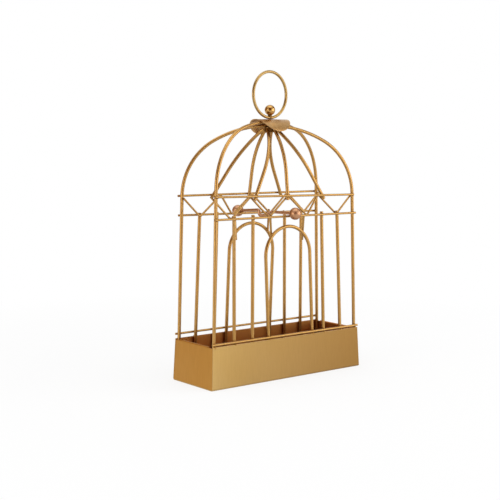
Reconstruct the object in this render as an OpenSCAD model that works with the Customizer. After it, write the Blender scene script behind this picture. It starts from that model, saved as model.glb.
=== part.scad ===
// Birdcage card box: a tapered sheet-metal tray that carries an open wire cage with a domed top.
// Millimetres, +Z up. The origin is on the table, under the middle of the tray.
// The two long sides of the cage are the same wire panel, one of them turned round by half a turn.

/* [Tray] */
// Length of the tray where it stands on the table
tray_w = 130; // [100:1:180]
// Depth of the tray where it stands on the table
tray_d = 45; // [38:1:70]
// Height of the tray walls
tray_h = 28.2; // [20:0.1:40]
// How much the two ends lean in, on each side, from the bottom to the rim
end_lean_in = 1.2; // [0:0.1:3]
// How much the two long walls lean in, on each side, from the bottom to the rim
wall_lean_in = 1; // [0:0.1:3]
// Thickness of the sheet metal
sheet = 0.6; // [0.4:0.1:1]
// Outer radius of the bends along the bottom edges
bend_r = 1.2; // [0.9:0.1:2]
// How far the ends of the tray stand back from the cut edges of the long walls
end_recess = 0.1; // [0:0.05:0.5]
// How far the hem on each end is folded down inside
hem_h = 3; // [2:0.5:6]
// Gap inside the fold of the hem
hem_gap = 0.3; // [0.2:0.1:0.6]
// How far each hem stops short of the corner wires
hem_setback = 2; // [1:0.5:5]
// Height of the tabs that tie each end to the long walls
tab_h = 11; // [6:0.5:12]
// Length of those tabs along the walls and the floor
tab_w = 7; // [4:0.5:12]

/* [Cage] */
// How much the cage narrows at each end from the rim of the tray to the upper rails
cage_taper = 2.4; // [0:0.1:6]
// Height of the lower rails
lower_rail_z = 110.1; // [90:0.1:130]
// Height of the upper rails
upper_rail_z = 123.8; // [105:0.1:150]
// How much the front upper rail drops from its middle to its right end
upper_rail_drop = 0.8; // [-1:0.1:1]
// How much the back lower rail rises from its middle to its right end, seen from the back
lower_rail_rise = 0.7; // [-1:0.1:1]
// Height of the front bottom rail above the rim of the tray
front_rail_lift = 1.6; // [1:0.1:4]
// Height of the back bottom rail above the rim of the tray
back_rail_lift = 2.9; // [1:0.1:4]
// How far the upright wires reach down into the tray
foot_depth = 14; // [8:0.5:15]
// How far the bars stick up past the lower rail
bar_rise = 2; // [1:0.1:4]

/* [Wires] */
// Diameter of the hoops, bars, arches and ribs
bar_wire = 2.3; // [1.6:0.1:3]
// Diameter of the rails and of the short links
rail_wire = 1.5; // [1:0.1:2]
// Diameter of the zigzag wires
zigzag_wire = 1.4; // [1:0.1:2]
// Diameter of the hanging ring's wire
ring_wire = 2; // [1.4:0.1:3]
// Diameter of the cross rod
cross_wire = 2.2; // [1.4:0.1:2.4]

/* [Zigzag and arch] */
// Radius of the zigzag's bends, at the middle of the wire
zigzag_bend = 1.8; // [1:0.1:3]
// Radius of the round top of the arch, at the middle of the wire
arch_r = 19.4; // [12:0.1:24]
// Height of the top of the arch, at the middle of the wire
arch_top_z = 103.2; // [80:0.1:106]
// Sideways place of the middle of the arch
arch_x = 0.6; // [-4:0.1:4]
// Angle by which the arch leans sideways, degrees
arch_lean = 2.3; // [0:0.1:5]

/* [Dome] */
// Height of the top of the cap, where the hanging ring stands
cap_top_z = 175; // [150:0.5:210]
// Height above the upper rail at which the upper hoop starts to curve in
upper_hoop_spring = 5.4; // [0:0.1:15]
// Shoulder radius of the upper hoop, as a share of its rise
upper_hoop_share = 0.97; // [0.6:0.01:0.97]
// Height above the upper rail at which the lower hoop starts to curve in
lower_hoop_spring = 0; // [0:0.1:15]
// Shoulder radius of the lower hoop, as a share of its rise
lower_hoop_share = 0.92; // [0.6:0.01:0.97]
// Angle at which the ribs leave the upper rail, leaning in, degrees
rib_lean = 6; // [4:0.5:14]
// Share of a rib's height at which its lower and upper directions would meet
rib_turn_at = 0.72; // [0.6:0.01:0.92]
// How far the ribs stick down past the upper rail
rib_tail = 3; // [1:0.1:5]
// Radius of the stud that gathers the ends of the ribs
stud_r = 3.6; // [2:0.1:4.5]
// Length of that stud
stud_h = 3.4; // [2:0.1:6]

/* [Cap and finial] */
// Length of the oval sheet that the cap is rolled from, along the ridge
cap_l = 27.4; // [24:0.1:36]
// Width of that sheet, before it is rolled
cap_w = 31.6; // [26:0.1:36]
// Outer radius to which the sheet is rolled
cap_roll_r = 11.5; // [11.5:0.1:18]
// Angle by which the cap is turned toward the back, degrees
cap_tip = 5; // [0:0.5:10]
// Sideways place of the middle of the cap
cap_shift = 0.6; // [-3:0.1:3]
// Outer diameter of the hanging ring
ring_d = 32.9; // [24:0.1:44]
// Angle by which the ring is turned out of the cage's long direction, degrees
ring_turn = 5; // [0:0.5:20]
// Width of the seam where the ring's two ends meet
ring_seam = 0.3; // [0.1:0.1:1]
// Diameter of the finial ball
ball_d = 7.2; // [5:0.1:9]
// Gap between the ring and the finial ball, which the neck fills
neck_gap = 0.5; // [0.3:0.1:1.5]
// Diameter of the neck
neck_d = 2.9; // [2.6:0.1:3.6]

/* [Cross rod] */
// Sideways place of the back half of the cross rod
cross_back_x = -7.6; // [-10:0.1:-6]
// Sideways place of the front half of the cross rod
cross_front_x = 1.3; // [0:0.1:6]
// Angle at which the back half climbs from its ball to the middle, degrees
cross_climb = 4.2; // [0:0.1:6]
// How far the rod then steps down
cross_drop = 3.8; // [3.5:0.1:6]
// Radius of the rod's tight bends, at the middle of the wire
cross_bend = 1.4; // [1.3:0.1:1.5]
// Diameter of the balls on its ends
cross_ball_d = 8.2; // [6:0.1:9]
// How deep the rod's ends sit in the balls
ball_socket = 4.4; // [2:0.1:5]

/* [Hidden] */
$fn = 48;

// Colours of the metals
GOLD = [0.76, 0.58, 0.29];
DEEP_GOLD = [0.66, 0.46, 0.2];
COPPER = [0.68, 0.42, 0.28];

// Gap left between two pieces that are brazed where they meet
touch = 0.02;
// The same gap where one of two wires runs at a slant
slant_touch = 0.08;
// A bent wire is this much thinner on its straights than in its bends, and each straight
// runs this far into the bends beside it
swell = 0.01;
splice = 0.05;

bar_r = bar_wire / 2;
rail_r = rail_wire / 2;
zigzag_r = zigzag_wire / 2;
cross_r = cross_wire / 2;
ball_r = ball_d / 2;
cross_ball_r = cross_ball_d / 2;

// Half sizes of the tray's rim, outside
rim_x = tray_w / 2 - end_lean_in;
rim_y = tray_d / 2 - wall_lean_in;

// Corner wires: where their middles stand at the rim and at the upper rails.
// At the rim they touch the inner faces of the tray. The cage keeps its proportions as it narrows.
foot_x = rim_x - end_recess - sheet - bar_r - touch;
foot_y = rim_y - sheet - bar_r - touch;
band_x = foot_x - cage_taper;
band_y = foot_y * band_x / foot_x;

// Heights on a panel, measured from the rim
lower_up = lower_rail_z - tray_h;
upper_up = upper_rail_z - tray_h;
panel_lean = atan2(foot_y - band_y, upper_up);

// Distances from the middle of a panel to the wires that lie on its outside and inside
rail_out = bar_r + rail_r + touch;
zigzag_in = bar_r + zigzag_r + touch;

// Bars of a panel: places at the lower rail and at the rim, as shares of the half width
BARS = [[-0.754, -0.735], [-0.493, -0.491], [0.513, 0.528], [0.754, 0.782]];
// How far the one short bar sticks up past the lower rail
short_rise = 0.4;
// Corners of the zigzag along the panel, as shares of the half width. The first is its free end.
ZIGZAG = [-1.045, -0.778, -0.507, -0.242, 0.033, 0.318, 0.485, 0.775, 1];
// Links: place round the arch in degrees, sideways shift of the top, length past the rail and the arch
LINKS = [[133, -2.5, 2.2, 1.6], [42, -0.8, 0.6, 3.6], [38, -0.8, 0.6, 3.6]];
// Ribs: foot as a share of the half width, and place of the end round the stud in degrees
FRONT_RIBS = [[-0.454, 210], [0.003, 270], [0.522, 330]];
BACK_RIBS = [[-0.423, 210], [0.045, 270], [0.567, 330]];

// ---- directions ----------------------------------------------------------------------------

function unit(v) = v / norm(v);

// A direction square to v
function square_to(v) = unit(cross(v, abs(v.z) < 0.9 ? [0, 0, 1] : [1, 0, 0]));

// Rigid placement from an origin and three axes
function placed(o, x, y, z) = [
    [x.x, y.x, z.x, o.x],
    [x.y, y.y, z.y, o.y],
    [x.z, y.z, z.z, o.z],
    [0, 0, 0, 1]
];

function angle_between(a, b) = acos(max(-1, min(1, unit(a) * unit(b))));

// ---- wire forming --------------------------------------------------------------------------

// Straight round rod from a to b
module rod(a, b, r) {
    z = unit(b - a);
    x = square_to(z);
    multmatrix(placed(a, x, cross(z, x), z)) cylinder(h = norm(b - a), r = r);
}

// Round bend at corner p, from direction d_in to direction d_out
module elbow(p, d_in, d_out, bend, r) {
    turn = angle_between(d_in, d_out);
    inward = unit(d_out - (d_out * d_in) * d_in);
    start = p - d_in * bend * tan(turn / 2);
    multmatrix(placed(start + inward * bend, -inward, d_in, cross(-inward, d_in)))
        rotate_extrude(angle = turn) translate([bend, 0]) circle(r = r);
}

// Straight of a bent wire from a to b, spliced into a bend at either end or at both
module straight(a, b, r, at_a, at_b) {
    way = unit(b - a);
    rod(a - way * (at_a ? splice : 0), b + way * (at_b ? splice : 0), r - swell);
}

// Wire along a line of points, with a bend of the given radius at each inner point.
// The last straight is left out where the wire ends on its last bend.
module bent_wire(points, bend, r) {
    last = len(points) - 1;
    dirs = [for (i = [0:last - 1]) unit(points[i + 1] - points[i])];
    // Length that each point's bend takes from the straights beside it
    cuts = [for (i = [0:last]) i == 0 || i == last ? 0 : bend * tan(angle_between(dirs[i - 1], dirs[i]) / 2)];
    for (i = [0:last - 1]) {
        a = points[i] + dirs[i] * cuts[i];
        b = points[i + 1] - dirs[i] * cuts[i + 1];
        if (norm(b - a) > splice) straight(a, b, r, i > 0, i < last - 1);
    }
    for (i = [1:last - 1]) elbow(points[i], dirs[i - 1], dirs[i], bend, r);
}

// Arc of wire in the XZ plane round the point c, from angle a to angle b
module wire_arc(c, radius, a, b, r) {
    translate([c.x, 0, c.y]) rotate([90, 0, 0]) rotate([0, 0, a])
        rotate_extrude(angle = b - a) translate([radius, 0]) circle(r = r);
}

// A wire of the back panel or a rib of the back side: the front one, turned round
module turned() rotate([0, 0, 180]) children();

// ---- tray ----------------------------------------------------------------------------------

function reversed(p) = [for (i = [len(p) - 1:-1:0]) p[i]];

function flipped(p) = [for (q = p) [-q.x, q.y]];

// Round corner from angle a to angle b
function corner(c, r, a, b) = [for (i = [0:6]) let (t = a + (b - a) * i / 6) c + r * [cos(t), sin(t)]];

// Half of the tray's section in Y and Z, from the floor out and up to the rim, inset from outside
function half_section(inset) = let (
    r = max(bend_r - inset, 0.1),
    c = [tray_d / 2 - inset - r, inset + r]
) concat(corner(c, r, 270, 360), [[rim_y - inset, tray_h]]);

// Section in Y and Z, drawn along X
module along_x(length) rotate([90, 0, 90]) linear_extrude(length, center = true) children();

// Outline in X and Z, drawn along Y
module along_y(length) rotate([90, 0, 0]) linear_extrude(length, center = true) children();

// Floor and both long walls, folded from one strip with slanting ends
module tray_pan() {
    outer = half_section(0);
    inner = half_section(sheet);
    color(GOLD) intersection() {
        along_x(tray_w + 2)
            polygon(concat(outer, reversed(inner), flipped(inner), reversed(flipped(outer))));
        along_y(tray_d + 2)
            polygon([[-tray_w / 2, 0], [tray_w / 2, 0], [rim_x, tray_h], [-rim_x, tray_h]]);
    }
}

// Room inside the long walls and above the floor
module tray_room(inset) {
    half = half_section(inset);
    along_x(tray_w + 2) polygon(concat(half, reversed(flipped(half))));
}

// Outline that leans with the right end: u runs inward from its outer face, v runs up
module leaning(width) {
    lean = atan2(end_lean_in, tray_h);
    along_y(width) translate([tray_w / 2 - end_recess, 0]) rotate(lean) mirror([1, 0]) children();
}

// One end: a plate between the long walls with a hem on top and tabs on its other three sides
module tray_end() {
    lean = atan2(end_lean_in, tray_h);
    fold_r = sheet + hem_gap / 2;
    fold_v = (tray_h - 2 * fold_r * sin(lean)) / cos(lean) - fold_r;
    hem_half = foot_y - bar_r - hem_setback;
    tab_top = min(tab_h, tray_h - foot_depth - 1);
    color(GOLD) intersection() {
        tray_room(sheet + touch);
        union() {
            leaning(tray_d) polygon([[0, 0], [0, fold_v], [sheet, fold_v], [sheet, 0]]);
            leaning(2 * hem_half) polygon(concat(
                [[0, fold_v - 1]],
                corner([fold_r, fold_v], fold_r, 180, 0),
                [[2 * fold_r, fold_v - hem_h], [2 * fold_r - sheet, fold_v - hem_h]],
                corner([fold_r, fold_v], hem_gap / 2, 0, 180),
                [[sheet, fold_v - 1]]
            ));
            difference() {
                intersection() {
                    tray_room(sheet + touch);
                    leaning(tray_d) polygon([
                        [sheet / 2, 0], [sheet / 2, tab_top],
                        [sheet + tab_w, tab_top - 2], [sheet + tab_w, 0]
                    ]);
                }
                tray_room(2 * sheet + touch);
                for (side = [-1, 1])
                    translate([0, side * (tray_d / 2 - bend_r), bend_r]) rotate([0, 90, 0])
                        cylinder(h = tray_w, r = 2.5 * bend_r);
            }
        }
    }
}

module tray_end_right() tray_end();

module tray_end_left() turned() tray_end();

// ---- cage panels ---------------------------------------------------------------------------

// Point of the front panel: x along it, up from the rim, out from its middle plane
function on_panel(x, up, out) = [
    x,
    up * sin(panel_lean) - foot_y - out * cos(panel_lean),
    tray_h + up * cos(panel_lean) + out * sin(panel_lean)
];

// Half width of a panel at a height, to the middles of the corner wires
function half_at(up) = foot_x - cage_taper * up / upper_up;

// Rail on the outside of the front panel, with its overhang past each corner wire. Its right end
// may rise past the middle, and its left end then drops by as much.
module rail(up, left, right, rise = 0) {
    left_end = on_panel(-half_at(up) - left, up - rise, rail_out);
    right_end = on_panel(half_at(up) + right, up + rise, rail_out);
    color(GOLD) rod(left_end, right_end, rail_r);
}

module bottom_rail(lift) rail(lift, 2.5, 1.6);

module front_bottom_rail() bottom_rail(front_rail_lift);

module front_lower_rail() rail(lower_up, 1.9, 1.2);

module front_upper_rail() rail(upper_up, 2.1, -0.3, -upper_rail_drop);

module back_bottom_rail() turned() bottom_rail(back_rail_lift);

module back_lower_rail() turned() rail(lower_up, 1.9, 1.2, lower_rail_rise);

module back_upper_rail() turned() rail(upper_up, 2.1, 1.9);

// Upright bar of the front panel
module bar(i, rise = bar_rise) {
    top_x = BARS[i][0] * half_at(lower_up);
    rim_place = BARS[i][1] * half_at(0);
    drift = (top_x - rim_place) / lower_up;
    up = lower_up + rise;
    color(GOLD) rod(
        on_panel(rim_place - drift * foot_depth, -foot_depth, 0),
        on_panel(rim_place + drift * up, up, 0),
        bar_r
    );
}

module front_bar_1() bar(0);

module front_bar_2() bar(1);

module front_bar_3() bar(2);

module front_bar_4() bar(3);

module back_bar_1() turned() bar(0);

module back_bar_2() turned() bar(1, short_rise);

module back_bar_3() turned() bar(2);

module back_bar_4() turned() bar(3);

// Zigzag wire on the inside of the front panel, between the lower and the upper rail
module zigzag() {
    half = half_at(upper_up);
    low = lower_up - 0.5;
    last = len(ZIGZAG) - 1;
    points = [for (i = [0:last]) on_panel(
        ZIGZAG[i] * half,
        i == 0 ? upper_up + 0.8 : i == last ? upper_up - 1.5 : i % 2 == 0 ? upper_up : low,
        -zigzag_in
    )];
    color(GOLD) bent_wire(points, zigzag_bend, zigzag_r);
}

module front_zigzag() zigzag();

module back_zigzag() turned() zigzag();

// Middle of the arch's round top, along the panel and up from the rim
arch_c = [arch_x, arch_top_z - tray_h - arch_r];

// Point of the panel, given from the middle of the arch in its own leaning directions
function on_arch(u, v) = on_panel(
    arch_c.x + u * cos(arch_lean) - v * sin(arch_lean),
    arch_c.y + u * sin(arch_lean) + v * cos(arch_lean),
    0
);

// Doorway arch of the front panel, bent from one wire
module arch() {
    // Each leg runs down to the same depth in the tray
    left_v = -(arch_c.y + foot_depth - arch_r * sin(arch_lean)) / cos(arch_lean);
    right_v = -(arch_c.y + foot_depth + arch_r * sin(arch_lean)) / cos(arch_lean);
    mid = on_arch(0, 0);
    across = on_arch(1, 0) - mid;
    along = on_arch(0, 1) - mid;
    color(GOLD) {
        straight(on_arch(-arch_r, left_v), on_arch(-arch_r, 0), bar_r, false, true);
        straight(on_arch(arch_r, right_v), on_arch(arch_r, 0), bar_r, false, true);
        multmatrix(placed(mid, across, along, cross(across, along)))
            rotate_extrude(angle = 180) translate([arch_r, 0]) circle(r = bar_r);
    }
}

module front_arch() arch();

module back_arch() turned() arch();

// Short link from the back of the lower rail down behind the shoulder of the arch
module link(i) {
    t = LINKS[i][0];
    hit = [arch_c.x + arch_r * cos(t), arch_c.y + arch_r * sin(t)];
    top = on_panel(hit.x + LINKS[i][1], lower_up, rail_out - 2 * rail_r - slant_touch);
    low = on_panel(hit.x, hit.y, -bar_r - rail_r - slant_touch);
    down = unit(low - top);
    color(DEEP_GOLD) rod(top - down * LINKS[i][2], low + down * LINKS[i][3], rail_r);
}

module front_link_1() link(0);

module front_link_2() link(1);

module back_link_1() turned() link(0);

module back_link_2() turned() link(2);

// ---- hoops ---------------------------------------------------------------------------------

// Each hoop stands in a diagonal plane, from one corner wire over the top to the opposite one
hoop_turn = atan2(foot_y, foot_x);
foot_reach = norm([foot_x, foot_y]);
hoop_lean = atan2(foot_reach - norm([band_x, band_y]), upper_up);

// Distance of a leg from the middle, at a height
function leg_at(z) = foot_reach - (z - tray_h) * tan(hoop_lean);

// Middle of a hoop's shoulder bend
function shoulder_c(spring, r) = [leg_at(spring) - r * cos(hoop_lean), spring - r * sin(hoop_lean)];

// Radius of the wide arc that runs on from both shoulders and tops out at the crown
function crown_r(crown, c, r) = let (k = crown - c.y) (c.x * c.x + k * k - r * r) / (2 * (k - r));

module hoop(crown, spring, share) {
    r = share * (crown - spring);
    c = shoulder_c(spring, r);
    wide = crown_r(crown, c, r);
    mid_z = crown - wide;
    meet = atan2(c.y - mid_z, c.x);
    lap = splice / wide * 180 / PI;
    foot_z = tray_h - foot_depth;
    color(GOLD) {
        for (side = [-1, 1]) {
            foot = [side * leg_at(foot_z), 0, foot_z];
            straight(foot, [side * leg_at(spring), 0, spring], bar_r, false, true);
        }
        wire_arc(c, r, hoop_lean, meet, bar_r);
        wire_arc([0, mid_z], wide, meet - lap, 180 - meet + lap, bar_r - swell);
        wire_arc([-c.x, c.y], r, 180 - meet, 180 - hoop_lean, bar_r);
    }
}

// The upper hoop runs at a slant under the rolled cap, so its crown is set where its whole run clears
upper_spring = upper_rail_z + upper_hoop_spring;
lower_spring = upper_rail_z + lower_hoop_spring;
cap_mid_z = cap_top_z - cap_roll_r;
cap_clear_r = cap_roll_r - sheet - bar_r - touch;
guess_crown = cap_mid_z + cap_clear_r;
guess_r = upper_hoop_share * (guess_crown - upper_spring);
guess_wide = crown_r(guess_crown, shoulder_c(upper_spring, guess_r), guess_r);
cap_run = (cap_l / 2 + abs(cap_shift)) / cos(hoop_turn);
upper_crown_z = min([for (i = [0:12]) let (
    s = cap_run * i / 12,
    y = s * sin(hoop_turn)
) cap_mid_z + sqrt(max(0, cap_clear_r * cap_clear_r - y * y)) + s * s / (2 * guess_wide)]);
lower_crown_z = upper_crown_z - bar_wire - touch;

// From the front left corner to the back right corner, over the other one
module upper_hoop() rotate([0, 0, hoop_turn]) hoop(upper_crown_z, upper_spring, upper_hoop_share);

// From the back left corner to the front right corner
module lower_hoop() rotate([0, 0, -hoop_turn]) hoop(lower_crown_z, lower_spring, lower_hoop_share);

// ---- ribs ----------------------------------------------------------------------------------

// The stud's flat top touches the curved underside of the lower hoop at two points of its edge
lower_r = lower_hoop_share * (lower_crown_z - lower_spring);
under_r = crown_r(lower_crown_z, shoulder_c(lower_spring, lower_r), lower_r) - bar_r;
stud_top = lower_crown_z - bar_r - touch - under_r + sqrt(under_r * under_r - stud_r * stud_r);
rib_end_z = stud_top - bar_r - slant_touch;
rib_end_r = stud_r + 0.8 * bar_r;

// Rib of the front side: up from behind the upper rail, then in to the stud under the crown
module rib(foot_share, end_angle, rail_rise = 0) {
    end = [rib_end_r * cos(end_angle), rib_end_r * sin(end_angle), rib_end_z];
    foot_place = foot_share * band_x;
    rail_at = on_panel(foot_place, upper_up + rail_rise * foot_share, rail_out);
    // Direction of the rib's plane as seen from the front
    rise = unit([end.x - foot_place, 0, end.z - rail_at.z]);
    height = norm([end.x - foot_place, end.z - rail_at.z]);
    reach = (rail_r + bar_r + touch) * sqrt(1 + pow(tan(rib_lean) / rise.z, 2));
    foot = rail_at + [0, reach, 0];
    way = [0, tan(rib_lean), 0] + rise;
    turn_point = foot + way * rib_turn_at * height;
    turn = angle_between(way, end - turn_point);
    bend = norm(end - turn_point) / tan(turn / 2);
    color(GOLD) bent_wire([foot - unit(way) * rib_tail, turn_point, end], bend, bar_r);
}

module front_rib(i) rib(FRONT_RIBS[i][0], FRONT_RIBS[i][1], -upper_rail_drop);

module back_rib(i) turned() rib(BACK_RIBS[i][0], BACK_RIBS[i][1]);

module front_rib_1() front_rib(0);

module front_rib_2() front_rib(1);

module front_rib_3() front_rib(2);

module back_rib_1() back_rib(0);

module back_rib_2() back_rib(1);

module back_rib_3() back_rib(2);

// Small stud under the crown that the ribs are brazed to
module crown_stud() {
    color(DEEP_GOLD) translate([0, 0, stud_top - stud_h]) rotate_extrude()
        polygon([[0, 0], [stud_r - 0.5, 0], [stud_r, 0.5], [stud_r, stud_h], [0, stud_h]]);
}

// ---- cap, ring and finial ------------------------------------------------------------------

// Oval sheet rolled down to the front and the back over the crossing of the hoops
module cap() {
    steps = 20;
    wrap = cap_w / 2 / cap_roll_r * 180 / PI;
    // Edge of the rolled sheet as seen from the front, from the ridge down to its lowest point
    edge = [for (i = [0:steps - 1]) let (t = 90 * i / steps) [
        cap_l / 2 * cos(t),
        cap_roll_r * cos(wrap * sin(t))
    ]];
    tip = [[0, cap_roll_r * cos(wrap)]];
    half = concat([[cap_l / 2, cap_roll_r + 1]], edge);
    outline = concat(half, tip, reversed(flipped(half)));
    color(GOLD) translate([cap_shift, 0, cap_mid_z]) rotate([-cap_tip, 0, 0]) intersection() {
        rotate([0, 90, 0]) difference() {
            cylinder(h = cap_l + 2, r = cap_roll_r, center = true);
            cylinder(h = cap_l + 4, r = cap_roll_r - sheet, center = true);
        }
        along_y(2 * cap_roll_r + 2) polygon(outline);
    }
}

ring_r = (ring_d - ring_wire) / 2;
ring_mid_z = cap_top_z + touch + ring_d / 2;
finial_z = ring_mid_z - ring_r + ring_wire / 2 + neck_gap + ball_r;

// Wire ring that stands on the cap's ridge; its two ends meet at the bottom
module hanging_ring() {
    gap = ring_seam / ring_r * 180 / PI;
    color(GOLD) rotate([0, 0, ring_turn])
        wire_arc([0, ring_mid_z], ring_r, gap / 2 - 90, 270 - gap / 2, ring_wire / 2);
}

// Brazed saddle between the ring and the finial ball
module finial_neck() {
    base = ring_mid_z - ring_r;
    color(DEEP_GOLD) rotate([0, 0, ring_turn]) difference() {
        translate([0, 0, base]) cylinder(h = finial_z - base, d = neck_d);
        wire_arc([0, ring_mid_z], ring_r, -120, -60, ring_wire / 2 + touch);
        translate([0, 0, finial_z]) sphere(r = ball_r + touch);
    }
}

module finial_ball() {
    color(GOLD) translate([0, 0, finial_z]) sphere(r = ball_r);
}

// ---- cross rod -----------------------------------------------------------------------------

// The rod lies on top of both lower rails, and each ball touches its rail from outside.
// A half of the rod is given by its place x, its side (-1 front, 1 back) and the angle it climbs at.
cross_rest = rail_r + cross_r + touch;
cross_along = sqrt(pow(cross_ball_r + rail_r + touch, 2) - cross_rest * cross_rest);

// Direction of a half, from the middle of the cage out to its ball
function cross_way(side, climb) = [0, side * cos(climb), -sin(climb)];

// Point of a half's middle line straight over the rail
function cross_over(x, side, climb) = let (
    rise = side > 0 ? -lower_rail_rise * x / half_at(lower_up) : 0,
    rail_at = on_panel(x, lower_up + rise, rail_out)
) [x, -side * rail_at.y + side * cross_rest * sin(climb), rail_at.z + cross_rest * cos(climb)];

function ball_at(x, side, climb) = cross_over(x, side, climb) + cross_along * cross_way(side, climb);

// End of the rod in its ball
function cross_end(x, side, climb) =
    ball_at(x, side, climb) + (ball_socket - cross_ball_r) * cross_way(side, climb);

// Rod from ball to ball with a step down and sideways in the middle
module cross_rod() {
    over = cross_over(cross_back_x, 1, cross_climb);
    top = over + (1.8 - over.y) / cos(cross_climb) * cross_way(1, cross_climb);
    low_z = top.z - cross_drop;
    points = [
        cross_end(cross_back_x, 1, cross_climb),
        top,
        [cross_back_x, 1.8, low_z],
        [cross_back_x + 4.6, 0.6, low_z],
        [cross_front_x, -0.7, cross_over(cross_front_x, -1, 0).z],
        cross_end(cross_front_x, -1, 0)
    ];
    color(COPPER) bent_wire(points, cross_bend, cross_r);
}

// Ball with a blind hole for the end of the rod
module cross_ball(x, side, climb) {
    middle = ball_at(x, side, climb);
    way = cross_way(side, climb);
    color(COPPER) difference() {
        translate(middle) sphere(r = cross_ball_r);
        rod(
            middle + way * (ball_socket - cross_ball_r + touch),
            middle - way * (cross_ball_r + 1),
            cross_r + touch
        );
    }
}

module cross_ball_front() cross_ball(cross_front_x, -1, 0);

module cross_ball_back() cross_ball(cross_back_x, 1, cross_climb);

// ---- all pieces ----------------------------------------------------------------------------

tray_pan();
tray_end_left();
tray_end_right();
upper_hoop();
lower_hoop();
front_bottom_rail();
front_lower_rail();
front_upper_rail();
back_bottom_rail();
back_lower_rail();
back_upper_rail();
front_zigzag();
back_zigzag();
front_bar_1();
front_bar_2();
front_bar_3();
front_bar_4();
back_bar_1();
back_bar_2();
back_bar_3();
back_bar_4();
front_arch();
back_arch();
front_link_1();
front_link_2();
back_link_1();
back_link_2();
front_rib_1();
front_rib_2();
front_rib_3();
back_rib_1();
back_rib_2();
back_rib_3();
crown_stud();
cap();
hanging_ring();
finial_neck();
finial_ball();
cross_rod();
cross_ball_front();
cross_ball_back();
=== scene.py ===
"""Finishes, brazed joints and studio for the birdcage card box.

The cage and its tray come from the packed frame. This file gives every wire and sheet its gold or
copper finish, adds the small brazed joints where wires cross, and builds the floor, the lamps, the
cards that the metal mirrors, and the camera.
"""

import math

import bmesh
import bpy
from bpy.props import FloatProperty, FloatVectorProperty, PointerProperty
from bpy.types import Operator, Panel, PropertyGroup
from mathutils import Matrix, Vector
from mathutils.bvhtree import BVHTree


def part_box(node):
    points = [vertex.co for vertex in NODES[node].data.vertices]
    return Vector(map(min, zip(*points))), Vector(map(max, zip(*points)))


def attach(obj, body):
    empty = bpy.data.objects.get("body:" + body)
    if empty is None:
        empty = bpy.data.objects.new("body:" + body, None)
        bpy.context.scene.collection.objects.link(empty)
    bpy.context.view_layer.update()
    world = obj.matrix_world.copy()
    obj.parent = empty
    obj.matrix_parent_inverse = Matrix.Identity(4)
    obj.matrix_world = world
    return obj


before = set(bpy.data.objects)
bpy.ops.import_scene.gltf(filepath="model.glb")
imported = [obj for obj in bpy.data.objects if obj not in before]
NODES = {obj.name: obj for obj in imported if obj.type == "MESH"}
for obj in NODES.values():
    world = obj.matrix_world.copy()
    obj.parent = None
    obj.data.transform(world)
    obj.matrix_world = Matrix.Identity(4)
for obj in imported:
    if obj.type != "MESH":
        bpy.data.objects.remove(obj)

bl_info = {
    "name": "Birdcage Card Box",
    "version": (1, 0, 0),
    "blender": (4, 5, 0),
    "location": "View3D > Sidebar > Card Box",
    "description": "Gold finishes, brazed joints and studio for a birdcage card box",
    "category": "Object",
}

MM = 0.001

# The CAD pieces by kind
HEAVY_WIRES = [n for n in NODES if any(w in n for w in ("hoop", "bar_", "arch", "rib_"))]
UPRIGHTS = [n for n in HEAVY_WIRES if "rib" not in n]
RAILS = [n for n in NODES if n.endswith("_rail")]
LINKS = [n for n in NODES if "_link_" in n]
ZIGZAGS = [n for n in NODES if n.endswith("_zigzag")]
BARS = [n for n in NODES if "_bar_" in n]
ARCHES = [n for n in NODES if n.endswith("_arch")]
CROSS_NODES = [n for n in NODES if n.startswith("cross_")]

# Sizes of the CAD pieces that the brazed joints are placed by
BAR_RADIUS = 1.15 * MM
LINK_RADIUS = 0.75 * MM
SHEET = 0.6 * MM  # thickness of the tray's walls
WALL_LEAN = 1.0 * MM  # how far a long wall leans in from the floor to the rim

# Search for joints
SEARCH_STEP = 0.15 * MM  # between the points tried along a wire
END_PART = 0.1  # part of a wire's length that counts as its end
RIM_DEPTH = 0.3 * MM  # below the rim, where the uprights are brazed to the walls
RIM_RADIUS = 0.05 * MM  # of the line along the wall that is searched there

# Shape of a brazed bead, as parts of its radius
BETWEEN_ARMS = 0.28  # product of x and y past which a point lies between the arms
BEAD_TOP = 0.6  # height past which a point stays where it is
DRAWN_IN = 0.86
SMALLEST_BEAD, BEAD_SPREAD = 0.9, 0.2  # the beads differ a little in size, in a fixed order

# Metal: the ranges that the noises are read over, and the scales of the fine ones
TONE_RANGE = (0.3, 0.7)
MARK_RANGE = (0.32, 0.68)
RUB_RANGE = (0.35, 0.62)
RUB_SCALE = 420.0
FINE_SCALE = 2600.0
FLAT_EDGE, SHARP_EDGE = 0.985, 0.88  # cosines between the true and the rounded normal
# Edges are made paler by this much: partly rubbing, partly a painted highlight along the edges
WORN_AND_HIGHLIT_LIGHTER = 1.45
GLOSS_SPREAD = 0.12  # how far the roughness strays to either side
BUMP_STRENGTH = 0.35
FACING_TURN = 2.0 * MM  # distance over which inner and outer faces blend
# Painted reflection falloff: the sheet is lightest at its left end and fades to a darker colour at
# its right end
PAINTED_FADE_FROM, PAINTED_FADE_TO = -65.0 * MM, 65.0 * MM  # the tray's left and right ends

# Studio
MATT = 0.9  # roughness of the floor and the cards
FLOOR_SIZE = 6.0
FLOOR_FADE = (0.16, 0.4)  # distances between which the floor turns to plain white
FLOOR_WHITE = 0.8  # how white it is already at the first of them
LAMP_AIM = 0.08  # height, about the middle of the cage
# Name, turn from the camera and elevation in degrees, and size and power times the studio's own
LAMPS = (
    ("right lamp", 92.0, 14.0, 1.1, 1.2),
    ("near right lamp", 54.0, 6.0, 0.8, 0.5),
    ("left lamp", -52.0, 6.0, 1.0, 1.0),
)
LAMP_DISTANCE = 0.9
TOP_ELEVATION, TOP_DISTANCE, TOP_SIZE = 80.0, 0.8, 0.7
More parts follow.
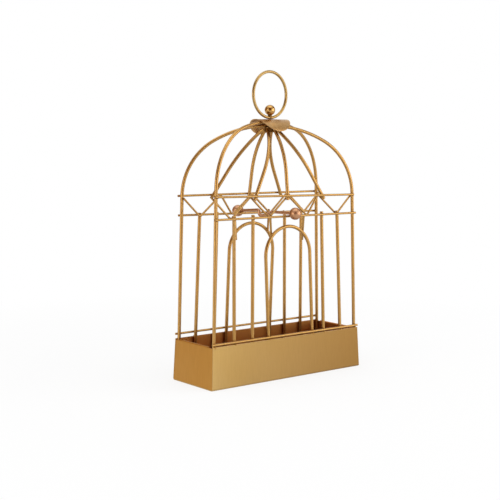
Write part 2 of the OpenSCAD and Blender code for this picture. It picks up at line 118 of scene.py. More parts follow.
# Name, turn from the camera or None, direction round the box where there is no turn, spread and
# highest elevation in degrees, and colour
CARDS = (
    ("camera side card", 0.0, None, 76.0, 66.0, (0.34, 0.15, 0.07)),
    ("left back card", None, -145.0, 80.0, 45.0, (0.6, 0.34, 0.12)),
    ("right back card", None, 80.0, 74.0, 45.0, (0.36, 0.22, 0.12)),
)
CARD_BOTTOM = -12.0  # lowest elevation of every card in degrees, seen from CARD_AIM
CARD_DISTANCE = 1.3
CARD_AIM = 0.1


# ---- settings --------------------------------------------------------------------------------


class CardBoxFinish(PropertyGroup):
    """Colours and gloss of the metals."""

    tray_colour: FloatVectorProperty(
        name="Tray Gold",
        description="Colour of the satin gold on the sheet metal",
        subtype="COLOR",
        size=3,
        min=0.0,
        max=1.0,
        default=(0.51, 0.345, 0.14),
    )
    tray_roughness: FloatProperty(
        name="Tray Roughness",
        description="How matt the satin gold on the sheet metal is",
        subtype="FACTOR",
        min=0.1,
        max=0.9,
        default=0.42,
    )
    # Painted shade: the darker colour that the sheet fades to at its right end, standing in for a
    # reflection that is brightest at the left end
    tray_painted_fade_colour: FloatVectorProperty(
        name="Tray Gold, Right",
        description="Colour that the sheet's gold turns to towards its right end",
        subtype="COLOR",
        size=3,
        min=0.0,
        max=1.0,
        default=(0.295, 0.16, 0.045),
    )
    # Painted shade: the darker, redder gold on the inner faces stands in for the shade and the
    # gold-on-gold reflection inside the tray
    tray_inside_painted_shade: FloatVectorProperty(
        name="Tray Inside",
        description="Colour of the thinner, browner gold inside the tray",
        subtype="COLOR",
        size=3,
        min=0.0,
        max=1.0,
        default=(0.6, 0.27, 0.07),
    )
    # Painted shade: the ends get a darker, more orange copy of the sheet gold, standing in for the
    # way light falls on the box's sides
    tray_end_painted_shade: FloatVectorProperty(
        name="Tray Ends",
        description="Colour of the warmer gold on the tray's two ends",
        subtype="COLOR",
        size=3,
        min=0.0,
        max=1.0,
        default=(0.51, 0.26, 0.055),
    )
    wire_colour: FloatVectorProperty(
        name="Wire Gold",
        description="Colour of the antique gold on the wires",
        subtype="COLOR",
        size=3,
        min=0.0,
        max=1.0,
        default=(0.46, 0.265, 0.089),
    )
    wire_roughness: FloatProperty(
        name="Wire Roughness",
        description="How matt the gold on the wires is",
        subtype="FACTOR",
        min=0.1,
        max=0.9,
        default=0.34,
    )
    ring_colour: FloatVectorProperty(
        name="Ring Gold",
        description="Colour of the greener gold on the hanging ring",
        subtype="COLOR",
        size=3,
        min=0.0,
        max=1.0,
        default=(0.385, 0.25, 0.095),
    )
    cap_colour: FloatVectorProperty(
        name="Cap Gold",
        description="Colour of the pale gold on the rolled cap",
        subtype="COLOR",
        size=3,
        min=0.0,
        max=1.0,
        default=(0.55, 0.35, 0.155),
    )
    copper_colour: FloatVectorProperty(
        name="Cross Rod Copper",
        description="Colour of the rosy copper on the cross rod and its balls",
        subtype="COLOR",
        size=3,
        min=0.0,
        max=1.0,
        default=(0.51, 0.28, 0.165),
    )
    braze_colour: FloatVectorProperty(
        name="Braze",
        description="Colour of the brazed joints under the gold",
        subtype="COLOR",
        size=3,
        min=0.0,
        max=1.0,
        default=(0.4, 0.22, 0.065),
    )
    # Partly rubbing, partly a painted highlight: how much paler the gold is on edges
    edge_wear_and_highlight: FloatProperty(
        name="Edge Wear",
        description="How much paler the gold is where edges are rubbed",
        subtype="FACTOR",
        min=0.0,
        max=1.0,
        default=0.5,
    )


class CardBoxBraze(PropertyGroup):
    """Sizes of the brazed joints."""

    bead_radius: FloatProperty(
        name="Bead Radius",
        description="Radius of a brazed joint, along the wires that it holds",
        unit="LENGTH",
        min=0.4 * MM,
        max=2.0 * MM,
        precision=5,
        default=1.15 * MM,
    )
    bead_depth: FloatProperty(
        name="Bead Depth",
        description="Half thickness of a brazed joint, square to the wires",
        unit="LENGTH",
        min=0.2 * MM,
        max=1.5 * MM,
        precision=5,
        default=0.75 * MM,
    )
    reach: FloatProperty(
        name="Reach",
        description="Largest gap between two wires that a joint closes",
        unit="LENGTH",
        min=0.02 * MM,
        max=0.5 * MM,
        precision=5,
        default=0.2 * MM,
    )


class CardBoxStudio(PropertyGroup):
    """Floor, light and camera."""

    floor_colour: FloatVectorProperty(
        name="Floor",
        description="Colour of the floor under the box",
        subtype="COLOR",
        size=3,
        min=0.0,
        max=1.0,
        default=(0.92, 0.92, 0.92),
    )
    room_light: FloatProperty(
        name="Room Light",
        description="Strength of the even light from all sides",
        min=0.0,
        max=2.0,
        default=0.65,
    )
    lamp_power: FloatProperty(
        name="Lamp Power",
        description="Power of the left lamp, which the two right lamps follow",
        subtype="POWER",
        min=0.0,
        max=50.0,
        default=2.5,
    )
    lamp_size: FloatProperty(
        name="Lamp Size",
        description="Width and height of the left lamp, which the two right lamps follow",
        unit="LENGTH",
        min=0.05,
        max=2.0,
        default=0.52,
    )
    top_power: FloatProperty(
        name="Top Lamp",
        description="Power of the large soft lamp above the box",
        subtype="POWER",
        min=0.0,
        max=50.0,
        default=2.0,
    )
    camera_azimuth: FloatProperty(
        name="Camera Azimuth",
        description="Direction of the camera round the box",
        subtype="ANGLE",
        default=math.radians(-38.2115),
    )
    camera_elevation: FloatProperty(
        name="Camera Elevation",
        description="How far the camera looks down on the box",
        subtype="ANGLE",
        default=math.radians(5.828),
    )
    camera_roll: FloatProperty(
        name="Camera Roll",
        description="How far the camera is tilted sideways",
        subtype="ANGLE",
        default=math.radians(0.1123),
    )
    camera_place: FloatVectorProperty(
        name="Camera Place",
        description="Where the camera stands",
        subtype="TRANSLATION",
        unit="LENGTH",
        size=3,
        default=(-0.45692, -0.55886, 0.15929),
    )
    camera_lens: FloatProperty(
        name="Camera Lens",
        description="Focal length in millimetres on a sensor 36 mm wide",
        min=20.0,
        max=200.0,
        default=75.919,
    )


# ---- helpers ---------------------------------------------------------------------------------


def deselect_all():
    """Leave edit mode and deselect every object."""
    if bpy.context.object and bpy.context.object.mode != "OBJECT":
        bpy.ops.object.mode_set(mode="OBJECT")
    bpy.ops.object.select_all(action="DESELECT")


def give_material(names, material):
    """Put a material on the slots of the named CAD pieces."""
    for name in names:
        slots = NODES[name].data.materials
        if len(slots) == 0:
            slots.append(material)
        for i in range(len(slots)):
            slots[i] = material


def add_node(tree, kind, at, **values):
    """Add a shader node at a place in the tree.

    The values set its properties or, by name, its inputs.
    """
    node = tree.nodes.new(kind)
    node.location = (at[0] * 200, at[1] * 200)
    for key, value in values.items():
        if hasattr(node, key):
            setattr(node, key, value)
        else:
            node.inputs[key.replace("_", " ")].default_value = value
    return node


def noise(tree, vector, at, scale, stretch=(1.0, 1.0, 1.0), detail=3.0, roughness=0.55):
    """Noise on object coordinates, stretched along some axes."""
    mapping = add_node(tree, "ShaderNodeMapping", at)
    mapping.inputs["Scale"].default_value = stretch
    tree.links.new(vector, mapping.inputs["Vector"])
    texture = add_node(tree, "ShaderNodeTexNoise", (at[0] + 1, at[1]))
    texture.inputs["Scale"].default_value = scale
    texture.inputs["Detail"].default_value = detail
    texture.inputs["Roughness"].default_value = roughness
    tree.links.new(mapping.outputs["Vector"], texture.inputs["Vector"])
    return texture.outputs["Fac"]


def ranged(tree, value, at, low, high, out_low, out_high):
    """Map a value from one range to another, clamped."""
    node = add_node(tree, "ShaderNodeMapRange", at)
    node.inputs["From Min"].default_value = low
    node.inputs["From Max"].default_value = high
    node.inputs["To Min"].default_value = out_low
    node.inputs["To Max"].default_value = out_high
    tree.links.new(value, node.inputs["Value"])
    return node.outputs["Result"]


def blend(tree, factor, at, first, second, mode="MIX"):
    """Mix two colours; each is a socket or a colour."""
    node = add_node(tree, "ShaderNodeMix", at, data_type="RGBA", blend_type=mode)
    if isinstance(factor, float):
        node.inputs[0].default_value = factor
    else:
        tree.links.new(factor, node.inputs[0])
    for socket, colour in ((node.inputs[6], first), (node.inputs[7], second)):
        if isinstance(colour, bpy.types.NodeSocket):
            tree.links.new(colour, socket)
        else:
            socket.default_value = (*colour, 1.0)
    return node.outputs[2]


def shade(colour, factor):
    """A colour made darker or lighter."""
    return tuple(min(1.0, c * factor) for c in colour)


def direction(azimuth, elevation):
    """Direction from the box towards something that stands round it; azimuth 0 is the front."""
    level = math.cos(elevation)
    return Vector((math.sin(azimuth) * level, -math.cos(azimuth) * level, math.sin(elevation)))


def worn_and_highlit_edges(tree, at, radius):
    """1 on edges, which get rubbing and a painted highlight, 0 on flats and bends."""
    bevel = add_node(tree, "ShaderNodeBevel", at, samples=6)
    bevel.inputs["Radius"].default_value = radius
    geometry = add_node(tree, "ShaderNodeNewGeometry", (at[0], at[1] - 1))
    dot = add_node(tree, "ShaderNodeVectorMath", (at[0] + 1, at[1]), operation="DOT_PRODUCT")
    tree.links.new(bevel.outputs["Normal"], dot.inputs[0])
    tree.links.new(geometry.outputs["Normal"], dot.inputs[1])
    return ranged(tree, dot.outputs["Value"], (at[0] + 2, at[1]), FLAT_EDGE, SHARP_EDGE, 0.0, 1.0)


def inner_faces(tree, at):
    """1 on faces that look towards the middle of the box, 0 on those that look outwards."""
    place = add_node(tree, "ShaderNodeTexCoord", at)
    level = add_node(tree, "ShaderNodeVectorMath", (at[0] + 1, at[1]), operation="MULTIPLY")
    level.inputs[1].default_value = (1.0, 1.0, 0.0)
    tree.links.new(place.outputs["Object"], level.inputs[0])
    dot = add_node(tree, "ShaderNodeVectorMath", (at[0] + 2, at[1]), operation="DOT_PRODUCT")
    tree.links.new(level.outputs[0], dot.inputs[0])
    tree.links.new(place.outputs["Normal"], dot.inputs[1])
    facing = dot.outputs["Value"]
    return ranged(tree, facing, (at[0] + 3, at[1]), FACING_TURN, -FACING_TURN, 0.0, 1.0)


def metal(
    name,
    colour,
    roughness,
    streaks,
    patches,
    grain,
    wear_and_highlight=0.0,
    wear_radius=0.3 * MM,
    inside=None,
    painted_reflection_fade=None,
):
    """Gold or copper over metal.

    streaks is (scale, stretch, strength) of the brush marks, patches is (scale, strength) of slow
    changes in tone, and grain is the height of the finest unevenness. wear is how much paler the
    edges are, partly from rubbing and partly as a painted highlight. inside is the colour of the
    faces that look towards the middle of the box, a painted shade. dull is the colour that the gold
    fades to from the left end of the box to the right, a painted reflection falloff.
    """
    material = bpy.data.materials.new(name)
    material.use_nodes = True
    tree = material.node_tree
    shader = tree.nodes["Principled BSDF"]
    shader.inputs["Metallic"].default_value = 1.0
    place = add_node(tree, "ShaderNodeTexCoord", (-9, 0)).outputs["Object"]

    slow = noise(tree, place, (-8, 2), patches[0], detail=2.0)
    tone = ranged(tree, slow, (-6, 2), *TONE_RANGE, 0.0, 1.0)
    rich = (
        colour[0] * (1.0 - 0.3 * patches[1]),
        colour[1] * (1.0 - 0.75 * patches[1]),
        colour[2] * (1.0 - patches[1]) * 0.85,
    )
    base = blend(tree, tone, (-5, 2), rich, colour)
    # Painted reflection falloff: the colour fades from the left end of the box to the right
    if painted_reflection_fade is not None:
        along = add_node(tree, "ShaderNodeSeparateXYZ", (-8, 6))
        tree.links.new(place, along.inputs[0])
        amount = ranged(tree, along.outputs["X"], (-7, 6), PAINTED_FADE_FROM, PAINTED_FADE_TO, 0.0, 1.0)
        eased = add_node(tree, "ShaderNodeMath", (-6, 6), operation="SQRT")
        tree.links.new(amount, eased.inputs[0])
        base = blend(tree, eased.outputs[0], (-5, 5), base, painted_reflection_fade)
    # Painted shade: faces that look towards the middle of the box take the darker inside colour
    if inside is not None:
        base = blend(tree, inner_faces(tree, (-9, 4)), (-4, 3), base, inside)

    lines = noise(tree, place, (-8, 0), streaks[0], streaks[1], detail=4.0, roughness=0.65)
    darkest, palest = 1.0 - streaks[2], 1.0 + 0.4 * streaks[2]
    marks = ranged(tree, lines, (-6, 0), *MARK_RANGE, darkest, palest)
    grey = add_node(tree, "ShaderNodeCombineColor", (-5, 0))
    for channel in ("Red", "Green", "Blue"):
        tree.links.new(marks, grey.inputs[channel])
    base = blend(tree, 1.0, (-4, 1), base, grey.outputs["Color"], "MULTIPLY")
    # Edges made paler: partly rubbing, partly a painted highlight
    if wear_and_highlight > 0.0:
        rubbed = worn_and_highlit_edges(tree, (-7, -3), wear_radius)
        uneven = noise(tree, place, (-8, -5), RUB_SCALE)
        spots = ranged(tree, uneven, (-6, -5), *RUB_RANGE, 0.25, 1.0)
        amount = add_node(tree, "ShaderNodeMath", (-4, -3), operation="MULTIPLY")
        tree.links.new(rubbed, amount.inputs[0])
        tree.links.new(spots, amount.inputs[1])
        some = add_node(tree, "ShaderNodeMath", (-3, -3), operation="MULTIPLY")
        some.inputs[1].default_value = wear_and_highlight
        tree.links.new(amount.outputs[0], some.inputs[0])
        base = blend(tree, some.outputs[0], (-2, 1), base, shade(colour, WORN_AND_HIGHLIT_LIGHTER))
    tree.links.new(base, shader.inputs["Base Color"])

    dullest, glossiest = roughness * (1.0 + GLOSS_SPREAD), roughness * (1.0 - GLOSS_SPREAD)
    gloss = ranged(tree, lines, (-3, -1), *TONE_RANGE, dullest, glossiest)
    tree.links.new(gloss, shader.inputs["Roughness"])

    fine = noise(tree, place, (-8, -2), FINE_SCALE, detail=2.0)
    height = add_node(tree, "ShaderNodeMath", (-4, -2), operation="ADD")
    tree.links.new(lines, height.inputs[0])
    tree.links.new(fine, height.inputs[1])
    bump = add_node(tree, "ShaderNodeBump", (-2, -2))
    bump.inputs["Strength"].default_value = BUMP_STRENGTH
    bump.inputs["Distance"].default_value = grain
    tree.links.new(height.outputs[0], bump.inputs["Height"])
    tree.links.new(bump.outputs["Normal"], shader.inputs["Normal"])
    return material


def ends_of(node):
    """Middles of the two ends of a straight wire, lowest or leftmost first."""
    points = [v.co for v in NODES[node].data.vertices]
    low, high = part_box(node)
    size = high - low
    axis = 0 if size.x > size.z else 2
    near = END_PART * size[axis]
    groups = (
        [p for p in points if p[axis] < low[axis] + near],
        [p for p in points if p[axis] > high[axis] - near],
    )
    return [sum(group, Vector()) / len(group) for group in groups]


def tree_of(node):
    """Search tree over the faces of a CAD piece."""
    mesh = NODES[node].data
    return BVHTree.FromPolygons([v.co for v in mesh.vertices], [p.vertices for p in mesh.polygons])


def contacts(start, end, radius, others, reach):
    """Places where a straight wire from start to end all but touches one of the other pieces."""
    steps = max(2, int((end - start).length / SEARCH_STEP))
    found = []
    for tree in others:
        best = None
        for i in range(steps + 1):
            point = start.lerp(end, i / steps)
            hit = tree.find_nearest(point, radius + reach)
            if hit[0] is not None and (best is None or hit[3] < best[1]):
                best = (hit[0], hit[3], (hit[0] - point).normalized())
            elif hit[0] is None and best is not None:
                found.append(best)
                best = None
        if best is not None:
            found.append(best)
    return [(place, normal) for place, _, normal in found]


# ---- operators -------------------------------------------------------------------------------


class CARDBOX_OT_finish_tray(Operator):
    """Give the folded tray its satin gold, brushed upright"""

    bl_idname = "cardbox.finish_tray"
    bl_label = "Finish Tray"

    def execute(self, context):
        finish = context.scene.card_box_finish
        # The ends have one tone, a painted shade, and the sheet is lightest at its left end and
        # darker towards the right, a painted reflection falloff
        for name, nodes, colour, painted_reflection_fade in (
            ("Satin gold sheet", ["tray_pan"], finish.tray_colour, finish.tray_painted_fade_colour),
            (
                "Satin gold end in painted shade",
                ["tray_end_left", "tray_end_right"],
                finish.tray_end_painted_shade,
                finish.tray_end_painted_shade,
            ),
        ):
            material = metal(
                name,
                tuple(colour),
                finish.tray_roughness,
                streaks=(900.0, (1.0, 1.0, 0.1), 0.035),
                patches=(16.0, 0.1),
                grain=0.012 * MM,
                wear_and_highlight=finish.edge_wear_and_highlight,
                wear_radius=0.35 * MM,
                inside=tuple(finish.tray_inside_painted_shade),
                painted_reflection_fade=tuple(painted_reflection_fade),
            )
            give_material(nodes, material)
        return {"FINISHED"}


class CARDBOX_OT_finish_heavy_wires(Operator):
    """Give the hoops, bars, arches and ribs their antique gold"""

    bl_idname = "cardbox.finish_heavy_wires"
    bl_label = "Finish Heavy Wires"

    def execute(self, context):
        finish = context.scene.card_box_finish
        material = metal(
            "Antique gold wire",
            tuple(finish.wire_colour),
            finish.wire_roughness,
            streaks=(900.0, (1.0, 1.0, 0.1), 0.04),
            patches=(30.0, 0.1),
            grain=0.004 * MM,
        )
        give_material(HEAVY_WIRES, material)
        return {"FINISHED"}


class CARDBOX_OT_finish_thin_wires(Operator):
    """Give the rails, links and zigzags their antique gold"""

    bl_idname = "cardbox.finish_thin_wires"
    bl_label = "Finish Thin Wires"

    def execute(self, context):
        finish = context.scene.card_box_finish
        colour = tuple(finish.wire_colour)
        for name, nodes, tint in (
            ("Antique gold rail", RAILS, 0.95),
            ("Antique gold link", LINKS, 0.9),
            ("Antique gold zigzag", ZIGZAGS, 0.92),
        ):
            material = metal(
                name,
                shade(colour, tint),
                finish.wire_roughness,
                streaks=(900.0, (0.1, 1.0, 1.0), 0.04),
                patches=(30.0, 0.1),
                grain=0.004 * MM,
            )
            give_material(nodes, material)
        return {"FINISHED"}


class CARDBOX_OT_finish_cap(Operator):
    """Give the rolled cap its pale gold"""

    bl_idname = "cardbox.finish_cap"
    bl_label = "Finish Cap"

    def execute(self, context):
        finish = context.scene.card_box_finish
        material = metal(
            "Pale gold cap",
            tuple(finish.cap_colour),
            finish.tray_roughness * 0.85,
            # Partly brush marks, partly painted reflection bands across the rolled sheet
            streaks=(220.0, (1.0, 0.2, 0.2), 0.22),
            patches=(190.0, 0.3),
            grain=0.006 * MM,
            wear_and_highlight=finish.edge_wear_and_highlight,
            wear_radius=0.3 * MM,
        )
        give_material(["cap"], material)
        return {"FINISHED"}


class CARDBOX_OT_finish_finial(Operator):
    """Give the hanging ring and the finial ball their gold, and the neck and the hidden stud a
    braze colour darkened as painted shade
    """

    bl_idname = "cardbox.finish_finial"
    bl_label = "Finish Ring and Finial"

    def execute(self, context):
        finish = context.scene.card_box_finish
        ring = metal(
            "Antique gold ring",
            tuple(finish.ring_colour),
            finish.wire_roughness,
            streaks=(700.0, (1.0, 1.0, 1.0), 0.04),
            patches=(40.0, 0.1),
            grain=0.004 * MM,
        )
        ball = metal(
            "Polished gold ball",
            shade(finish.wire_colour, 1.05),
            finish.wire_roughness * 0.55,
            streaks=(600.0, (1.0, 1.0, 1.0), 0.03),
            patches=(120.0, 0.08),
            grain=0.003 * MM,
        )
        # Painted shade: the neck and the stud under the cap get the braze colour at half
        # brightness, standing in for the shade that falls on them there
        braze = metal(
            "Braze in painted shade",
            shade(finish.braze_colour, 0.5),
            finish.wire_roughness * 1.3,
            streaks=(900.0, (1.0, 1.0, 1.0), 0.25),
            patches=(260.0, 0.35),
            grain=0.05 * MM,
        )
        give_material(["hanging_ring"], ring)
        give_material(["finial_ball"], ball)
        give_material(["finial_neck", "crown_stud"], braze)
        return {"FINISHED"}


class CARDBOX_OT_finish_cross_rod(Operator):
    """Give the cross rod and its two balls their rosy copper"""

    bl_idname = "cardbox.finish_cross_rod"
    bl_label = "Finish Cross Rod"

    def execute(self, context):
        finish = context.scene.card_box_finish
        material = metal(
            "Rosy copper",
            tuple(finish.copper_colour),
            finish.wire_roughness * 1.2,
            streaks=(700.0, (1.0, 1.0, 1.0), 0.04),
            patches=(110.0, 0.12),
            grain=0.003 * MM,
        )
        give_material(CROSS_NODES, material)
        return {"FINISHED"}


class CARDBOX_OT_braze_joints(Operator):
    """Add a brazed bead wherever two wires cross, and where the uprights meet the tray's rim"""

    bl_idname = "cardbox.braze_joints"
    bl_label = "Braze Joints"

    def joint_places(self, reach):
        """Places and directions of all joints."""
        search = {name: tree_of(name) for name in NODES}

        def trees(names):
            return [search[name] for name in names]

        places = []
        for rail in RAILS:
            low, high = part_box(rail)
            side = rail.split("_")[0]
            near = [n for n in NODES if n.startswith(side) and not n.endswith("_rail")]
            near += ["upper_hoop", "lower_hoop", "cross_rod"]
            places += contacts(*ends_of(rail), (high.z - low.z) / 2, trees(near), reach)
        for bar in BARS:
            places += contacts(*ends_of(bar), BAR_RADIUS, trees(ZIGZAGS), reach)
        for link in LINKS:
            places += contacts(*ends_of(link), LINK_RADIUS, trees(ARCHES), reach)
        low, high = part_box("tray_pan")
        for side in (-1, 1):
            y = side * (high.y - WALL_LEAN - SHEET)
            start = Vector((low.x, y, high.z - RIM_DEPTH))
            end = Vector((high.x, y, high.z - RIM_DEPTH))
            places += contacts(start, end, RIM_RADIUS, trees(UPRIGHTS), reach)
        return places

    def execute(self, context):
        sizes = context.scene.card_box_braze
        finish = context.scene.card_box_finish
        places = self.joint_places(sizes.reach)
        if not places:
            raise RuntimeError("no two wires meet, so there is nothing to braze")

        deselect_all()
        bpy.ops.mesh.primitive_ico_sphere_add(subdivisions=2, radius=1.0)
        bead = context.object
        bead.name = "brazed_joints"
        bpy.ops.object.mode_set(mode="EDIT")
        bpy.ops.mesh.select_all(action="DESELECT")
        mesh = bmesh.from_edit_mesh(bead.data)
        # The bead has flowed along both wires: it is drawn in between its four arms
        for vertex in mesh.verts:
            diagonal = abs(vertex.co.x * vertex.co.y)
            vertex.select = diagonal > BETWEEN_ARMS and abs(vertex.co.z) < BEAD_TOP
        bmesh.update_edit_mesh(bead.data)
        bpy.ops.mesh.select_mode(type="VERT")
        bpy.ops.transform.resize(value=(DRAWN_IN, DRAWN_IN, 1.0))
        bpy.ops.mesh.select_all(action="SELECT")
        bpy.ops.transform.resize(value=(sizes.bead_radius, sizes.bead_radius, sizes.bead_depth))
        bpy.ops.object.mode_set(mode="OBJECT")

        copies = []
        for i, (place, normal) in enumerate(places):
            turn = normal.to_track_quat("Z", "Y").to_matrix().to_4x4()
            grow = SMALLEST_BEAD + BEAD_SPREAD * ((i * 7) % 11) / 10
            copy = bead.copy()
            copy.data = bead.data.copy()
            context.collection.objects.link(copy)
            copy.data.transform(Matrix.Translation(place) @ turn @ Matrix.Scale(grow, 4))
            copies.append(copy)
        bpy.data.objects.remove(bead)
        deselect_all()
        for copy in copies:
            copy.select_set(True)
        context.view_layer.objects.active = copies[0]
        bpy.ops.object.join()
        joints = context.object
        joints.name = "brazed_joints"
        bpy.ops.object.shade_smooth()
        material = metal(
            "Braze under gold",
            tuple(finish.braze_colour),
            finish.wire_roughness * 1.2,
            streaks=(1200.0, (1.0, 1.0, 1.0), 0.2),
            patches=(200.0, 0.3),
            grain=0.04 * MM,
        )
        joints.data.materials.clear()
        joints.data.materials.append(material)
        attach(joints, "root")
        return {"FINISHED"}


class CARDBOX_OT_build_stage(Operator):
    """Build the pale floor, the soft lamps, the white surroundings and the camera"""

    bl_idname = "cardbox.build_stage"
    bl_label = "Build Stage"

    def seen_directly(self, tree, at):
        """1 for what the camera, gloss and glass see, 0 for what lights the box."""
        path = add_node(tree, "ShaderNodeLightPath", at)
        first = add_node(tree, "ShaderNodeMath", (at[0] + 1, at[1]), operation="MAXIMUM")
        tree.links.new(path.outputs["Is Camera Ray"], first.inputs[0])
        tree.links.new(path.outputs["Is Glossy Ray"], first.inputs[1])
        second = add_node(tree, "ShaderNodeMath", (at[0] + 2, at[1]), operation="MAXIMUM")
        tree.links.new(first.outputs[0], second.inputs[0])
        tree.links.new(path.outputs["Is Transmission Ray"], second.inputs[1])
        return second.outputs[0]

    def make_world(self, context, strength):
        """White surroundings that light the box from all sides."""
        world = bpy.data.worlds.new("White surroundings")
        context.scene.world = world
        world.use_nodes = True
        tree = world.node_tree
        tree.nodes.clear()
        light = add_node(tree, "ShaderNodeBackground", (-2, 1), Strength=strength)
        white = add_node(tree, "ShaderNodeBackground", (-2, -1), Strength=1.0)
        light.inputs["Color"].default_value = (1.0, 1.0, 1.0, 1.0)
        white.inputs["Color"].default_value = (1.0, 1.0, 1.0, 1.0)
        mix = add_node(tree, "ShaderNodeMixShader", (-1, 0))
        tree.links.new(self.seen_directly(tree, (-5, 0)), mix.inputs[0])
        tree.links.new(light.outputs[0], mix.inputs[1])
        tree.links.new(white.outputs[0], mix.inputs[2])
        output = add_node(tree, "ShaderNodeOutputWorld", (0, 0))
        tree.links.new(mix.outputs[0], output.inputs["Surface"])

    def make_floor(self, colour):
        """Pale floor that fades to plain white away from the box and keeps the box's shadow."""
        deselect_all()
        bpy.ops.mesh.primitive_plane_add(size=FLOOR_SIZE, location=(0.0, 0.0, 0.0))
        floor = bpy.context.object
        floor.name = "floor"
        material = bpy.data.materials.new("Pale floor")
        material.use_nodes = True
        tree = material.node_tree
        shader = tree.nodes["Principled BSDF"]
        shader.inputs["Base Color"].default_value = (*colour, 1.0)
        shader.inputs["Roughness"].default_value = MATT
        shader.inputs["Specular IOR Level"].default_value = 0.1
        white = add_node(tree, "ShaderNodeEmission", (-1, -2), Strength=1.0)
        place = add_node(tree, "ShaderNodeTexCoord", (-6, -3)).outputs["Object"]
        length = add_node(tree, "ShaderNodeVectorMath", (-5, -3), operation="LENGTH")
        tree.links.new(place, length.inputs[0])
        far = ranged(tree, length.outputs["Value"], (-4, -3), *FLOOR_FADE, FLOOR_WHITE, 1.0)
        amount = add_node(tree, "ShaderNodeMath", (-2, -3), operation="MULTIPLY")
        tree.links.new(far, amount.inputs[0])
        tree.links.new(self.seen_directly(tree, (-6, -1)), amount.inputs[1])
        mix = add_node(tree, "ShaderNodeMixShader", (1, 0))
        tree.links.new(amount.outputs[0], mix.inputs[0])
        tree.links.new(shader.outputs[0], mix.inputs[1])
        tree.links.new(white.outputs[0], mix.inputs[2])
        output = tree.nodes["Material Output"]
        output.location = (500, 0)
        tree.links.new(mix.outputs[0], output.inputs["Surface"])
        floor.data.materials.append(material)

    def make_lamp(self, name, azimuth, elevation, distance, size, power):
        """Square soft lamp aimed at the middle of the cage."""
        aim = Vector((0.0, 0.0, LAMP_AIM))
        back = direction(math.radians(azimuth), math.radians(elevation))
        deselect_all()
        bpy.ops.object.light_add(type="AREA", location=aim + back * distance)
        lamp = bpy.context.object
        lamp.name = name
        lamp.data.size = size
        lamp.data.energy = power
        lamp.rotation_euler = (-back).to_track_quat("-Z", "Y").to_euler()

    def make_card(self, name, azimuth, spread, top, colour):
        """Upright card that only the metal mirrors, as a studio stands round shiny things.

        It takes up the given spread of directions round the box, up to the given elevation.
        """
        back = direction(math.radians(azimuth), 0.0)
        low = CARD_DISTANCE * math.tan(math.radians(CARD_BOTTOM))
        high = CARD_DISTANCE * math.tan(math.radians(top))
        width = 2 * CARD_DISTANCE * math.tan(math.radians(spread / 2))
        deselect_all()
        bpy.ops.mesh.primitive_plane_add(size=1.0, location=(0.0, 0.0, 0.0))
        card = bpy.context.object
        card.name = name
        card.data.transform(Matrix.Diagonal((width, high - low, 1.0, 1.0)))
        card.location = back * CARD_DISTANCE + Vector((0.0, 0.0, CARD_AIM + (low + high) / 2))
        card.rotation_euler = back.to_track_quat("Z", "Y").to_euler()
        material = bpy.data.materials.new(name)
        material.use_nodes = True
        shader = material.node_tree.nodes["Principled BSDF"]
        shader.inputs["Base Color"].default_value = (*colour, 1.0)
        shader.inputs["Roughness"].default_value = MATT
        card.data.materials.append(material)
        card.visible_camera = False
        card.visible_diffuse = False
        card.visible_shadow = False

    def make_camera(self, context, studio):
        """Camera that stands to the front left of the box."""
        a, roll = studio.camera_azimuth, studio.camera_roll
        back = direction(a, studio.camera_elevation)
        right = Vector((math.cos(a), math.sin(a), 0.0))
        up = back.cross(right)
        tilted_right = right * math.cos(roll) + up * math.sin(roll)
        tilted_up = up * math.cos(roll) - right * math.sin(roll)
        deselect_all()
        bpy.ops.object.camera_add(location=studio.camera_place)
        camera = context.object
        camera.name = "camera"
        camera.rotation_euler = Matrix((tilted_right, tilted_up, back)).transposed().to_euler()
        camera.data.sensor_width = 36.0
        camera.data.lens = studio.camera_lens
        camera.data.clip_start = 0.01
        camera.data.clip_end = 20.0
        context.scene.camera = camera

    def execute(self, context):
        studio = context.scene.card_box_studio
        self.make_world(context, studio.room_light)
        self.make_floor(tuple(studio.floor_colour))
        facing = math.degrees(studio.camera_azimuth)
        for name, turn, elevation, size, power in LAMPS:
            size, power = size * studio.lamp_size, power * studio.lamp_power
            self.make_lamp(name, facing + turn, elevation, LAMP_DISTANCE, size, power)
        self.make_lamp(
            "top lamp", facing, TOP_ELEVATION, TOP_DISTANCE, TOP_SIZE, studio.top_power
        )
        for name, turn, azimuth, spread, top, colour in CARDS:
            azimuth = azimuth if turn is None else facing + turn
            self.make_card(name, azimuth, spread, top, colour)
        self.make_camera(context, studio)
        context.scene.view_settings.view_transform = "Standard"
        return {"FINISHED"}


STEPS = [
    CARDBOX_OT_finish_tray,
    CARDBOX_OT_finish_heavy_wires,
    CARDBOX_OT_finish_thin_wires,
    CARDBOX_OT_finish_cap,
    CARDBOX_OT_finish_finial,
    CARDBOX_OT_finish_cross_rod,
    CARDBOX_OT_braze_joints,
    CARDBOX_OT_build_stage,
]


class CARDBOX_PT_panel(Panel):
    """Lists the settings and the steps in order"""

    bl_idname = "CARDBOX_PT_panel"
    bl_label = "Birdcage Card Box"
    bl_space_type = "VIEW_3D"
    bl_region_type = "UI"
    bl_category = "Card Box"

    def draw(self, context):
        layout = self.layout
        for group in ("card_box_finish", "card_box_braze", "card_box_studio"):
            settings = getattr(context.scene, group)
            box = layout.box()
            box.label(text=type(settings).__doc__)
            for key in type(settings).__annotations__:
                box.prop(settings, key)
        for step in STEPS:
            layout.operator(step.bl_idname)


GROUPS = {
    "card_box_finish": CardBoxFinish,
    "card_box_braze": CardBoxBraze,
    "card_box_studio": CardBoxStudio,
}


def register():
    """Register the settings, the steps and the panel."""
    for name, group in GROUPS.items():
        bpy.utils.register_class(group)
        setattr(bpy.types.Scene, name, PointerProperty(type=group))
    for cls in [*STEPS, CARDBOX_PT_panel]:
        bpy.utils.register_class(cls)


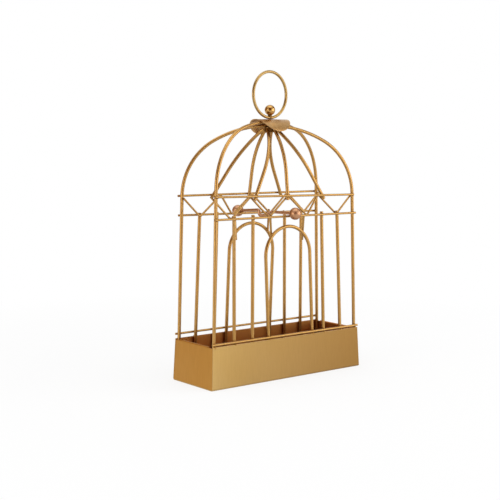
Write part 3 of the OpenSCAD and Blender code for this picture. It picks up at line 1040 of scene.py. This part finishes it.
def unregister():
    """Take everything out again, in the opposite order."""
    for cls in reversed([*STEPS, CARDBOX_PT_panel]):
        bpy.utils.unregister_class(cls)
    for name, group in reversed(list(GROUPS.items())):
        delattr(bpy.types.Scene, name)
        bpy.utils.unregister_class(group)


def main():
    """Run every step."""
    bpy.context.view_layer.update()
    register()
    bpy.ops.cardbox.finish_tray()
    bpy.ops.cardbox.finish_heavy_wires()
    bpy.ops.cardbox.finish_thin_wires()
    bpy.ops.cardbox.finish_cap()
    bpy.ops.cardbox.finish_finial()
    bpy.ops.cardbox.finish_cross_rod()
    bpy.ops.cardbox.braze_joints()
    bpy.ops.cardbox.build_stage()


if __name__ == "__main__":
    main()
